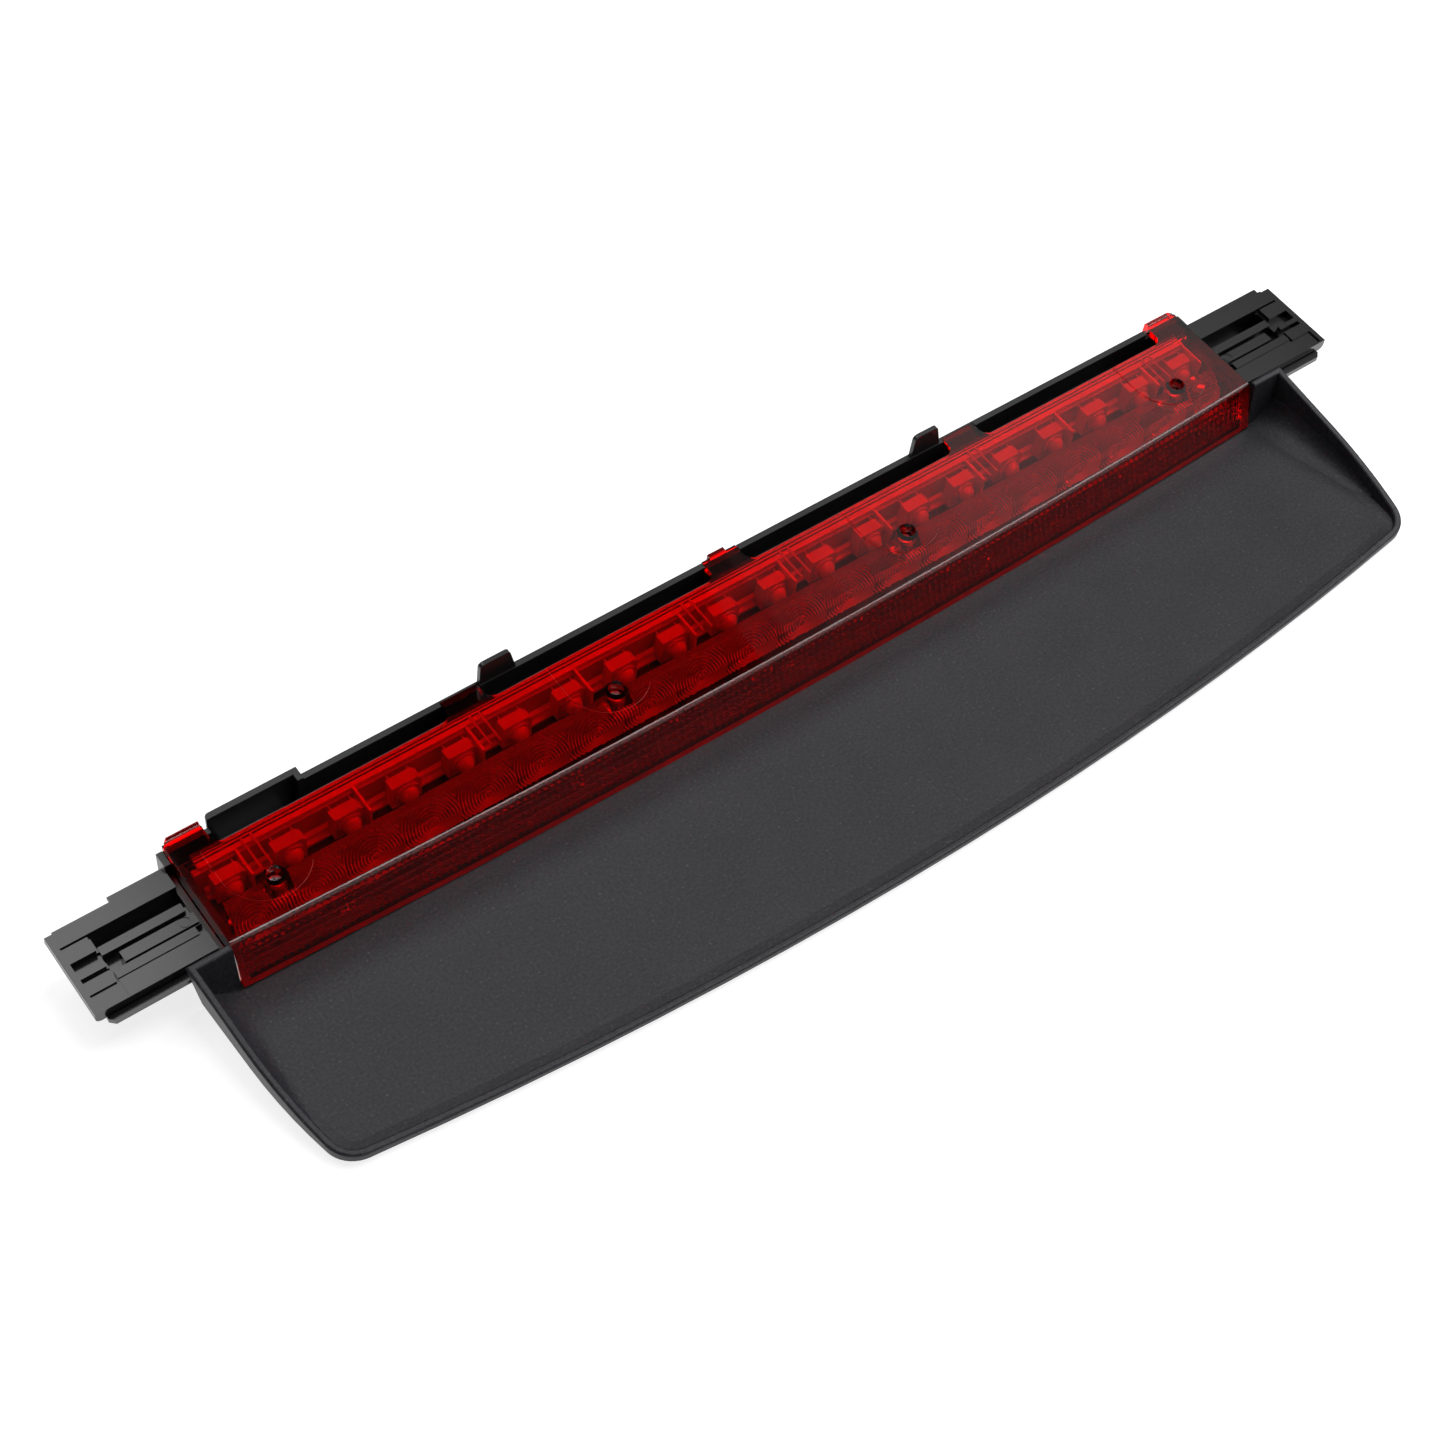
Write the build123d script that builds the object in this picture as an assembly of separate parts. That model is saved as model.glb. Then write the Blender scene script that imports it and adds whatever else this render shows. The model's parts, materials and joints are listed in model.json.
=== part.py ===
from build123d import *
import math
import os

# Third brake light: a long red lamp on a black housing, with a wide glare shade in front
# and a slide-in arm at each end.
#
# Two frames are used, both with X along the lamp.
#   Row frame:  Z up, Z = 0 is the surface that the lamp rests on, -Y is the shade's side.
#   Lamp frame: origin at the middle of the chord of the lens's top front edge, Z normal to
#               the lens's top. The lens top falls TILT degrees towards the shade.

# ------------------------------------------------------------------ driving dimensions, mm
TILT = 8.0                 # slope of the lens top, degrees
LENS_HEIGHT = 15.2         # height of the lamp frame's origin above the rest surface

LENS_LENGTH = 295.0
LENS_DEPTH = 22.85         # front top edge chord to the back edge between the tabs
LENS_HEIGHT_FRONT = 12.1
LENS_BOW = 3.3             # how far the front edge bows out at the middle
LENS_FRONT_SLOPE = 4.33    # how much further out the front wall is at its foot
LENS_WALL = 1.8
LENS_TOP_WALL = 1.6

SHADE_HALF_WIDTH = 156.5
SHADE_FRONT_Y = -63.4
SHADE_FRONT_RADIUS = 1050.0
SHADE_SIDE_RADIUS = 155.0
SHADE_CORNER_RADIUS = 7.5
SHADE_FLOOR = 2.1          # floor thickness
SHADE_WALL = 1.7
SHADE_DRAFT = 6.5          # outward lean of the side walls, degrees
RIM_FOOT = 1.35            # height of the rim's lower edge
RIM_TOP = 3.05             # height of the rim's top along the front
LIP_BACK_HEIGHT = 16.0     # height of the side walls where they meet the housing
CREST_RADIUS = 0.6         # rounding along the tops of the walls and the rim

LED_COUNT = 20
LED_PITCH = 14.61
LED_Z = -6.15
LED_SIZE = 7.6

WALL = 1.5                 # housing wall
ARM_END = 178.0            # half the length over the arms' end plates
ARM_TOP = -2.7             # arm top in the lamp frame

LAMP = Location((0, 0, LENS_HEIGHT), (TILT, 0, 0))

# ------------------------------------------------------------------ places shared by pieces
HALF = LENS_LENGTH / 2
LENS_FOOT = -LENS_HEIGHT_FRONT
CHAMBER_FLOOR = -11.0      # top of the housing floor under the LEDs
FLOOR_UNDERSIDE = -12.4
SCREW_X = (131.2, 42.7)    # lens screws, both sides
SCREW_Y = 9.84
STRIP_Y = (4.6, 6.2)       # strip with the ring lenses
STRIP_LEAN = 45.0          # how far its upper half leans back, degrees
LED_BODY_Y = (15.0, 18.0)  # front and back of the LED bodies
BOARD_Y = (19.6, 21.2)
BOARD_Z = (-10.6, -3.05)
INNER_WALL_Y = (23.0, 24.1)
RAIL_Y = (26.9, 28.4)      # the housing's back wall
RAIL_HALF = 136.4
TAB_WIDTH = 9.8
TAB_X = (0.0, 73.2)        # middle tab and the two intermediate tabs
END_TAB_X = 138.0          # the end tabs run from here to the lens ends
END_WALL_X = (HALF + 0.2, HALF + 1.7)
JOG_X = (-136.6, -113.7)   # stretch of the back wall that steps outwards
JOG_OUT = 1.9
TONGUES = ((-68.1, -58.2), (57.8, 66.8))
TONGUE_HEIGHT = 7.0
TONGUE_Y = (27.1, 28.2)
ARM_START = END_WALL_X[1] + 0.1
LUG_SCREW = (142.6, 9.2)   # screw that holds each arm's lug
LUG_Y = (5.9, 12.5)
LUG_Z = (-14.1, FLOOR_UNDERSIDE - 0.05)
SCREW_SEAT = -4.6          # where the heads of the lens screws sit
PEG_Y = (7.0, 21.5)        # pegs between each arm and the housing's end wall
PEG_Z = -9.0
SHADE_SCREW_X = (-120.0, -60.0, 0.0, 60.0, 120.0)
SHADE_SCREW_Y = 2.5
PLUG_X = (-134.0, -118.0)  # connector shell
PLUG_Y = (24.4, 34.8)
PLUG_Z = (-17.4, -9.6)
PIN_X = (-128.6, -123.4)
PIN_Z = -13.5
WIRE_DROP_Y = 22.35        # where the wires go down through the chamber floor
WIRE_Z = BOARD_Z[0] + 1.4


# ------------------------------------------------------------------ helpers
def block(x, y, z):
    """Box between the two ends given for each axis."""
    size = Box(x[1] - x[0], y[1] - y[0], z[1] - z[0])
    return Pos((x[0] + x[1]) / 2, (y[0] + y[1]) / 2, (z[0] + z[1]) / 2) * size


def rod(radius, x, y, z):
    """Upright cylinder at x, y between the two heights in z."""
    return Pos(x, y, (z[0] + z[1]) / 2) * Cylinder(radius, z[1] - z[0])


def rod_y(radius, x, y, z):
    """Cylinder along Y at x, z between the two ends in y."""
    turned = Rot(90, 0, 0) * Cylinder(radius, y[1] - y[0])
    return Pos(x, (y[0] + y[1]) / 2, z) * turned


def rod_x(radius, x, y, z):
    """Cylinder along X at y, z between the two ends in x."""
    turned = Rot(0, 90, 0) * Cylinder(radius, x[1] - x[0])
    return Pos((x[0] + x[1]) / 2, y, z) * turned


def both(shape):
    """The shape together with its mirror image across the lamp's middle."""
    return shape + mirror(shape, Plane.YZ)


def led_x(index):
    return (index - (LED_COUNT - 1) / 2) * LED_PITCH


def lens_prism(inset, z_top, z_foot, y_back):
    """Solid behind the bowed and sloped front wall, inset from the lens's outer faces.

    The front outline is carried straight down the wall's slope, so the whole front face
    is the same arc moved along one direction."""
    drop = z_top - z_foot
    lean = LENS_FRONT_SLOPE / LENS_HEIGHT_FRONT
    half = HALF - inset
    y_end = inset + lean * z_top
    y_mid = y_end - LENS_BOW
    far = y_back + 20
    outline = Wire([
        ThreePointArc((-half, y_end, z_top), (0, y_mid, z_top), (half, y_end, z_top)),
        Line((half, y_end, z_top), (half, far, z_top)),
        Line((half, far, z_top), (-half, far, z_top)),
        Line((-half, far, z_top), (-half, y_end, z_top)),
    ])
    down = Vector(0, -lean * drop, -drop)
    sheared = Solid.extrude(Face(outline), down)
    keep = block((-half - 1, half + 1), (-40, y_back), (z_foot - 1, z_top + 1))
    return sheared & keep


# ------------------------------------------------------------------ lens and inner optics
def lens():
    shell = lens_prism(0, 0, LENS_FOOT, LENS_DEPTH)
    front_edges = shell.edges().filter_by_position(Axis.Z, -0.01, 0.01).sort_by(Axis.Y)
    shell = fillet(front_edges[0], 0.9)
    hollow = lens_prism(LENS_WALL, -LENS_TOP_WALL, LENS_FOOT - 1, LENS_DEPTH - 1.1)
    shell -= hollow
    # the back skirt is short, so that the board's solder side clears it
    inner_half = HALF - LENS_WALL
    shell -= block((-inner_half, inner_half), (LENS_DEPTH - 1.2, LENS_DEPTH + 1), (-14, -2.8))
    shell += lens_tabs()
    # screw pillars and the shallow raised pads around them
    for x in SCREW_X:
        for side in (-1, 1):
            shell += rod(2.6, side * x, SCREW_Y, (-9.4, -LENS_TOP_WALL + 0.1))
            shell += screw_pad(side * x)
    for x in SCREW_X:
        for side in (-1, 1):
            shell -= rod(1.3, side * x, SCREW_Y, (-10, 1))
            shell -= rod(1.95, side * x, SCREW_Y, (SCREW_SEAT, 1))
    # paired stiffening ribs under the top
    for x in (14.5, 73.0, 131.2):
        for offset in (-1.2, 1.2):
            rib = block((x + offset - 0.25, x + offset + 0.25), (12.9, 21.8), (-2.0, -1.5))
            shell += both(rib)
    return shell


def screw_pad(x):
    """Raised pad with a round front around one screw, open to the lens's back edge."""
    pad = rod(10.3, x, 14.0, (-0.1, 0.15))
    pad += block((x - 10.3, x + 10.3), (14.0, LENS_DEPTH), (-0.1, 0.15))
    return pad & block((-HALF, HALF), (0, LENS_DEPTH), (-1, 1))


def lens_tabs():
    """Flat tabs along the back edge, with hooks on the end tabs and on the middle one."""
    top = (-LENS_TOP_WALL, 0)
    tabs = block((-TAB_WIDTH / 2, TAB_WIDTH / 2), (LENS_DEPTH - 1, 28.6), top)
    tabs += block((-2.3, 2.3), (28.5, 29.9), (-3.2, -0.4))
    x = TAB_X[1] - TAB_WIDTH / 2
    tabs += both(block((x, x + TAB_WIDTH), (LENS_DEPTH - 1, 27.8), top))
    tabs += both(block((END_TAB_X, HALF), (LENS_DEPTH - 1, 28.6), top))
    lip = block((END_TAB_X + 0.2, HALF - 0.6), (28.5, 29.9), (-3.2, 0.45))
    lip = chamfer(lip.edges().filter_by(Axis.Z).sort_by(Axis.Y)[-2:].sort_by(Axis.X)[-1], 1.2)
    lip = fillet(lip.edges().filter_by(Axis.X).group_by(Axis.Z)[-1], 0.4)
    tabs += both(lip)
    # round roots where the tabs leave the back edge
    edge_xs = [-TAB_WIDTH / 2, TAB_WIDTH / 2]
    for x in (-TAB_X[1], TAB_X[1]):
        edge_xs += [x - TAB_WIDTH / 2, x + TAB_WIDTH / 2]
    edge_xs += [-END_TAB_X, END_TAB_X]
    for x in edge_xs:
        centre = nearest_tab(x)
        out = 1 if x > centre else -1
        tabs += root_fillet(x, out, 2.8)
    return tabs


def nearest_tab(x):
    """Middle of the tab that the edge at x belongs to."""
    centres = [0, -TAB_X[1], TAB_X[1], -(END_TAB_X + HALF) / 2, (END_TAB_X + HALF) / 2]
    return min(centres, key=lambda c: abs(c - x))


def root_fillet(x, out, radius):
    """Concave corner piece between a tab's side and the lens's back edge."""
    corner = block(sorted((x - 0.2 * out, x + out * radius)), (LENS_DEPTH - 0.3, LENS_DEPTH + radius),
                   (-LENS_TOP_WALL, 0))
    return corner - rod(radius, x + out * radius, LENS_DEPTH + radius, (-3, 1))


def half_rings(x, side):
    """Round bulge and ridged rings about one LED's axis: the half above or below it."""
    rings = Sphere(4.7)
    rings = Pos(0, 0, -4.0) * rings & Pos(0, 0, 0.45) * Cylinder(2.2, 1.1)
    for radius in (3.1, 4.7):
        ridge = Cone(radius + 0.4, radius - 0.1, 0.6) - Cylinder(radius - 0.15, 2)
        rings += Pos(0, 0, 0.25) * ridge
    half = Pos(0, 6 * side, 0) * Box(14.4, 12, 4)
    keep = Box(14.4, 8.4, 4)
    lean = 90 - (STRIP_LEAN if side > 0 else 0)
    return Pos(x, STRIP_Y[0], LED_Z) * (Rot(lean, 0, 0) * (rings & half & keep))


def fresnel_strip():
    """Strip in front of the LEDs with ring lenses; its upper half leans back."""
    x0, x1 = -143.6, 143.6
    top = -2.1
    strip = block((x0, x1), STRIP_Y, (CHAMBER_FLOOR + 0.1, LED_Z))
    back = (top - LED_Z) * math.tan(math.radians(STRIP_LEAN))
    section = Polyline((STRIP_Y[0], LED_Z), (STRIP_Y[0] + back, top),
                       (STRIP_Y[1] + back, top), (STRIP_Y[1], LED_Z), close=True)
    leaning = extrude(Plane.YZ.offset(x0) * make_face(section), x1 - x0)
    strip += leaning
    for index in range(LED_COUNT):
        strip += half_rings(led_x(index), -1)
        strip += half_rings(led_x(index), 1)
    for x in SCREW_X:
        strip -= both(block((x - 3.1, x + 3.1), (3.5, 12), (-5.4, 0)))
    return strip


def led(index):
    """Square four-leg LED with a round dome that faces the front wall."""
    x = led_x(index)
    h = LED_SIZE / 2
    body = block((x - h, x + h), LED_BODY_Y, (LED_Z - h, LED_Z + h))
    body = chamfer(body.edges().filter_by(Axis.Y).sort_by(Axis.Z)[-1], 1.2)
    body += rod_y(3.0, x, (LED_BODY_Y[0] - 0.6, LED_BODY_Y[0] + 0.1), LED_Z)
    dome = Pos(x, LED_BODY_Y[0] - 0.5, LED_Z) * Sphere(2.4)
    body += dome & block((x - 3, x + 3), (LED_BODY_Y[0] - 4, LED_BODY_Y[0] + 0.2),
                         (LED_Z - 3, LED_Z + 3))
    return body


def lead_places(index):
    """X and Z of the four legs of one LED."""
    x = led_x(index)
    return [(x + a, LED_Z + b) for a in (-2.54, 2.54) for b in (-2.54, 2.54)]


def led_leads():
    """The legs of all LEDs, from the bodies through the board to the solder side."""
    legs = []
    for index in range(LED_COUNT):
        for x, z in lead_places(index):
            legs.append(rod_y(0.25, x, (LED_BODY_Y[1], BOARD_Y[1] + 0.9), z))
    return legs


def circuit_board():
    board = block((-145.0, 143.0), BOARD_Y, BOARD_Z)
    for index in range(LED_COUNT):
        for x, z in lead_places(index):
            board -= rod_y(0.28, x, (BOARD_Y[0] - 1, BOARD_Y[1] + 1), z)
    for x in PIN_X:
        board -= rod_y(0.6, x, (BOARD_Y[0] - 1, BOARD_Y[1] + 1), WIRE_Z)
    return board


def led_holder():
    """Light plastic carrier: a low plate and base behind and under the LEDs, a ledge along the
    board's upper edge, and fins that join the two."""
    end = 143.5
    wall = 0.6
    low = CHAMBER_FLOOR + 0.1
    holder = block((-end, end), (LED_BODY_Y[1], 19.2), (low, -8.4))
    holder += block((-end, end), (17.0, LED_BODY_Y[1] + 0.1), (low, -10.15))
    holder += block((-end, end), (20.4, 21.6), (-3.0, -2.1))
    holder += block((-end, end), (21.5, 22.7), (-3.3, -2.85))
    for index in range(LED_COUNT):
        window = (led_x(index) - 3.1, led_x(index) + 3.1)
        holder -= block(window, (17.9, 20), (LED_Z - 3.1, LED_Z + 3.1))
    # a brow over each LED pair, and over the single LED at each end, with a fin at its right
    first = [0] + list(range(1, LED_COUNT - 1, 2)) + [LED_COUNT - 1]
    for index in first:
        last = index if index in (0, LED_COUNT - 1) else index + 1
        fin_x = led_x(last) + LED_SIZE / 2 + 0.05
        holder += block((led_x(index) - 4.4, fin_x + wall), (20.2, 20.9), (-2.3, -1.95))
        holder += block((fin_x, fin_x + wall), (12.8, 19.2), (low, -2.1))
        holder += block((fin_x, fin_x + wall), (19.1, 20.5), (-2.95, -2.1))
    return holder


def resistors():
    """Surface-mounted resistors on the board's solder side, one for each LED pair."""
    chips = []
    for index in range(0, LED_COUNT, 2):
        x = (led_x(index) + led_x(index + 1)) / 2
        chips.append(block((x - 1.6, x + 1.6), (BOARD_Y[1], BOARD_Y[1] + 0.6), (-7.0, -5.4)))
    return chips


def diode():
    x = led_x(1) + LED_PITCH / 2
    return block((x - 2.2, x + 2.2), (BOARD_Y[1], BOARD_Y[1] + 1.4), (-7.5, -4.9))


def capacitor():
    x = led_x(3) + LED_PITCH / 2
    return block((x - 1.6, x + 1.6), (BOARD_Y[1], BOARD_Y[1] + 1.3), (-7.4, -5.0))


# ------------------------------------------------------------------ housing
def above_rest(shape):
    """The shape, given in the lamp frame, cut off at the rest surface."""
    slab = Pos(0, 0, -50) * Box(500, 300, 100)
    return shape - LAMP.inverse() * slab


def housing():
    half = END_WALL_X[1]
    # floor of the LED chamber, following the lens's front wall
    body = lens_prism(LENS_WALL + 0.3, CHAMBER_FLOOR, FLOOR_UNDERSIDE, RAIL_Y[0] + 0.1)
    floor = (FLOOR_UNDERSIDE, CHAMBER_FLOOR)
    body += block((-half, half), (INNER_WALL_Y[0], RAIL_Y[0] + 0.1), floor)
    # back wall up to the rail, inner wall behind the board, and the end walls
    body += block((-half, half), RAIL_Y, (-26, -1.8))
    body += block((-RAIL_HALF, RAIL_HALF), RAIL_Y, (-1.9, 0))
    body += block((-143.5, 143.5), INNER_WALL_Y, (CHAMBER_FLOOR - 0.5, -1.8))
    body += both(block(END_WALL_X, (3.0, RAIL_Y[1]), (-26, -5.8)))
    body += both(block(END_WALL_X, (24.6, RAIL_Y[1]), (-6, -1.5)))
    # ledges under the lens's ends, on both sides of the lugs
    for y in ((3.0, LUG_Y[0] - 0.2), (LUG_Y[1] + 0.2, LENS_DEPTH)):
        body += both(block((145.0, END_WALL_X[0] + 0.1), y, (-13.6, -12.25)))
    body += housing_skirt()
    body = jogged(body)
    for x0, x1 in TONGUES:
        body += tongue(x0, x1)
    # notches for the lens tabs
    notch = TAB_WIDTH / 2 + 0.2
    body -= block((-notch, notch), (20, 28.7), (-1.7, 1))
    body -= both(block((TAB_X[1] - notch, TAB_X[1] + notch), (20, 27.9), (-1.7, 1)))
    # posts under the lens pillars
    for x in SCREW_X:
        body += both(rod(2.6, x, SCREW_Y, (CHAMBER_FLOOR - 0.2, -9.5)))
        body -= both(rod(1.12, x, SCREW_Y, (FLOOR_UNDERSIDE + 0.1, -9)))
    # boss, room and pilot hole for each arm's lug, and sockets for its pegs
    x, y = LUG_SCREW
    body += both(rod(2.4, x, y, (CHAMBER_FLOOR - 0.2, -8.4)))
    room = block((138.4, half + 1), (LUG_Y[0] - 0.1, LUG_Y[1] + 0.1), (-26, FLOOR_UNDERSIDE))
    body -= both(room)
    body -= both(rod(1.12, x, y, (FLOOR_UNDERSIDE - 0.1, -8)))
    for y in PEG_Y:
        body -= both(rod_x(2.05, (END_WALL_X[0] - 1, END_WALL_X[1] + 1), y, PEG_Z))
    # connector opening, and holes for its wires
    plug_x = (PLUG_X[0] - 0.1, PLUG_X[1] + 0.1)
    body -= block(plug_x, (PLUG_Y[0] - 0.2, 32), (PLUG_Z[0] - 0.1, PLUG_Z[1] + 0.1))
    for x in PIN_X:
        body -= rod(0.8, x, WIRE_DROP_Y, (FLOOR_UNDERSIDE - 1, CHAMBER_FLOOR + 1))
    body = above_rest(body)
    # bosses that stand on the shade's tucked-in floor
    row_body = LAMP * body
    for x in SHADE_SCREW_X:
        row_body += rod(2.8, x, SHADE_SCREW_Y, (SHADE_FLOOR + 0.02, 3.6))
    for x in SHADE_SCREW_X:
        row_body -= rod(1.12, x, SHADE_SCREW_Y, (0, 4.5))
    return row_body


def housing_skirt():
    """Ribbed wall under the chamber floor that stands on the rest surface."""
    half = END_WALL_X[1]
    front = 9.0
    skirt = block((-half, half), (front, front + WALL), (-26, FLOOR_UNDERSIDE + 0.1))
    rib_count = 13
    for index in range(1, rib_count):
        x = -half + 2 * half * index / rib_count
        skirt += block((x - 0.6, x + 0.6), (front, RAIL_Y[0] + 0.1), (-26, FLOOR_UNDERSIDE + 0.1))
    return skirt


def jogged(body):
    """Step one stretch of the back wall outwards, above the floor."""
    x0, x1 = JOG_X
    inner, outer = RAIL_Y
    step = block(JOG_X, (inner, outer + JOG_OUT), (CHAMBER_FLOOR - WALL, 0.6))
    step = fillet(step.edges().filter_by(Axis.Z).sort_by(Axis.Y)[-2:].sort_by(Axis.X)[0], 1.2)
    step -= block((x0 - 1, x1 - WALL), (inner - 1, inner + JOG_OUT), (CHAMBER_FLOOR, 1))
    end = block((x0, x0 + 0.8), (inner - 0.1, inner + JOG_OUT + 0.1), (CHAMBER_FLOOR - 0.1, -7))
    body -= block((x0, x1 - WALL), (inner - 0.5, outer + 1), (CHAMBER_FLOOR, 1))
    return body + step + end


def tongue(x0, x1):
    """Snap tongue that stands up from the rail, with one slanted side."""
    slant = 1.8
    outline = Polyline((x0, -2), (x0, 0), (x0 + 0.2, TONGUE_HEIGHT), (x1 - slant, TONGUE_HEIGHT),
                       (x1, 0), (x1, -2), close=True)
    face = make_face(outline)
    face = fillet(face.vertices().sort_by(Axis.Y)[-2:], 1.2)
    flat = extrude(face, TONGUE_Y[1] - TONGUE_Y[0])
    upright = Pos(0, TONGUE_Y[1], 0) * (Rot(90, 0, 0) * flat)
    barb = block((x0 + 2, x1 - 2.6), (TONGUE_Y[1] - 0.1, TONGUE_Y[1] + 0.8), (4.4, 5.4))
    return upright + barb


# ------------------------------------------------------------------ arms
def arm(ledge_end):
    """Right-hand arm: a grooved guide with flanges and an end plate.

    ledge_end is where the back ledge stops. The left-hand arm is a mirror image of this
    one with a shorter ledge."""
    x0 = ARM_START
    core = block((x0, 174.4), (4.2, 23.2), (-13.0, ARM_TOP - 2.3))
    skin = block((x0, ARM_END), (2.0, 23.7), (ARM_TOP - 2.3, ARM_TOP))
    nose_x = ARM_END - 1.5
    nose = Pos(nose_x, (2.0 + 23.7) / 2, ARM_TOP - 1.6) * (Rot(90, 0, 0) * Cylinder(1.6, 23.7 - 2.0))
    arm_body = core + skin + nose
    # upper back ledge, short back flange, long front flange
    arm_body += block((x0, 176.0), (23.1, 24.5), (ARM_TOP - 2.3, ARM_TOP - 0.7))
    arm_body += block((x0, ledge_end), (24.4, 26.1), (ARM_TOP - 2.3, ARM_TOP - 1.2))
    flange = block((x0, 175.7), (0.1, 4.3), (-6.9, -5.4))
    flange = chamfer(flange.edges().filter_by(Axis.Z).group_by(Axis.X)[-1].sort_by(Axis.Y)[0], 1.2)
    arm_body += flange
    # grooves between the strips and ribs, from the back to the front
    deep = -9.0
    inner_end = 170.0
    outer_end = 176.5
    up = ARM_TOP + 1
    arm_body -= block((x0 - 1, inner_end), (16.2, 19.75), (deep, up))
    arm_body -= block((x0 - 1, inner_end), (9.2, 16.3), (ARM_TOP - 0.8, up))
    arm_body -= block((x0 - 1, inner_end), (12.9, 14.0), (-6.2, up))
    arm_body -= block((x0 - 1, inner_end), (9.2, 10.2), (-6.2, up))
    arm_body -= block((166.6, inner_end), (9.2, 14.0), (-6.2, up))
    arm_body -= block((x0 - 1, inner_end), (2.4, 7.1), (ARM_TOP - 0.3, up))
    # outer end: a gap beside the first block, a square pocket and two fine slots
    arm_body -= block((inner_end - 0.1, outer_end), (19.2, 19.75), (-4.5, up))
    arm_body -= block((inner_end - 0.1, outer_end), (12.2, 15.3), (-4.6, up))
    arm_body -= block((inner_end - 0.1, outer_end), (9.8, 10.9), (-4.6, up))
    arm_body -= block((inner_end - 0.1, inner_end + 0.5), (6.6, 19.75), (ARM_TOP - 1.2, up))
    arm_body -= block((inner_end - 0.1, outer_end + 0.2), (2.4, 6.6), (ARM_TOP - 0.5, up))
    # stepped inner ends of the ribs
    arm_body -= block((x0 - 1, x0 + 1.1), (14.0, 16.3), (-6, up))
    arm_body -= block((x0 - 1, x0 + 1.6), (7.0, 9.1), (-4.2, up))
    # round moulding mark near the lens
    arm_body -= rod(1.35, 152.0, 11.6, (ARM_TOP - 1.0, up))
    arm_body += rod(1.1, 152.0, 11.6, (ARM_TOP - 1.2, ARM_TOP - 0.85))
    # hollow underside with one cross rib
    mid = (x0 + ARM_END) / 2
    arm_body -= block((x0 + 2, mid - 0.6), (4.2, 21.6), (-14, -10.4))
    arm_body -= block((mid + 0.6, ARM_END - 3.0), (4.2, 21.6), (-14, -10.4))
    # pegs into the housing's end wall, and the lug under its floor
    for y in PEG_Y:
        arm_body += rod_x(2.0, (END_WALL_X[0] + 0.1, x0 + 0.5), y, PEG_Z)
    lug = block((138.9, x0 + 0.2), LUG_Y, LUG_Z)
    lug += block((x0, x0 + 2.0), LUG_Y, (LUG_Z[0], -12.0))
    lug -= rod(1.5, LUG_SCREW[0], LUG_SCREW[1], (-16, -12))
    return arm_body + lug


# ------------------------------------------------------------------ shade
def shade_outline(inset, height):
    """Closed outline of the shade in plan at one height, inset from the outer face."""
    half = SHADE_HALF_WIDTH - inset
    front = SHADE_FRONT_Y + inset
    front_radius = SHADE_FRONT_RADIUS - inset
    bend_y = -20.0
    side_radius = SHADE_SIDE_RADIUS - inset
    back_y = 0.0

    def front_y(x):
        return front + front_radius - math.sqrt(front_radius ** 2 - x ** 2)

    def side_x(y):
        return half - side_radius + math.sqrt(side_radius ** 2 - (bend_y - y) ** 2)

    # the corner of the side arc and the front arc, found by halving
    low, high = -60.0, -40.0
    for _ in range(60):
        middle = (low + high) / 2
        if front_y(side_x(middle)) > middle:
            low = middle
        else:
            high = middle
    corner_y = (low + high) / 2
    corner_x = side_x(corner_y)
    side_mid_y = (bend_y + corner_y) / 2
    side_mid_x = side_x(side_mid_y)
    outline = Wire([
        ThreePointArc((-corner_x, corner_y), (0, front), (corner_x, corner_y)),
        ThreePointArc((corner_x, corner_y), (side_mid_x, side_mid_y), (half, bend_y)),
        Line((half, bend_y), (half, back_y)),
        Line((half, back_y), (-half, back_y)),
        Line((-half, back_y), (-half, bend_y)),
        ThreePointArc((-half, bend_y), (-side_mid_x, side_mid_y), (-corner_x, corner_y)),
    ])
    face = make_face(outline)
    corners = face.vertices().sort_by(Axis.Y)[:2]
    face = fillet(corners, max(SHADE_CORNER_RADIUS - inset, 1.0))
    return Pos(0, 0, height) * face


def lip_profile():
    """Everything above the sloping tops of the side walls and above the front rim."""
    slope_end = (-54.0, RIM_TOP)
    outline = Wire([
        Line((6.0, LIP_BACK_HEIGHT + 1.4), slope_end),
        Line(slope_end, (-80.0, RIM_TOP)),
        Line((-80.0, RIM_TOP), (-80.0, 40.0)),
        Line((-80.0, 40.0), (6.0, 40.0)),
        Line((6.0, 40.0), (6.0, LIP_BACK_HEIGHT + 1.4)),
    ])
    face = make_face(Plane.YZ * outline)
    soft = face.vertices().sort_by_distance(Vector(0, *slope_end))[0]
    face = fillet(soft, 40.0)
    return extrude(face, 200, both=True)


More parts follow.
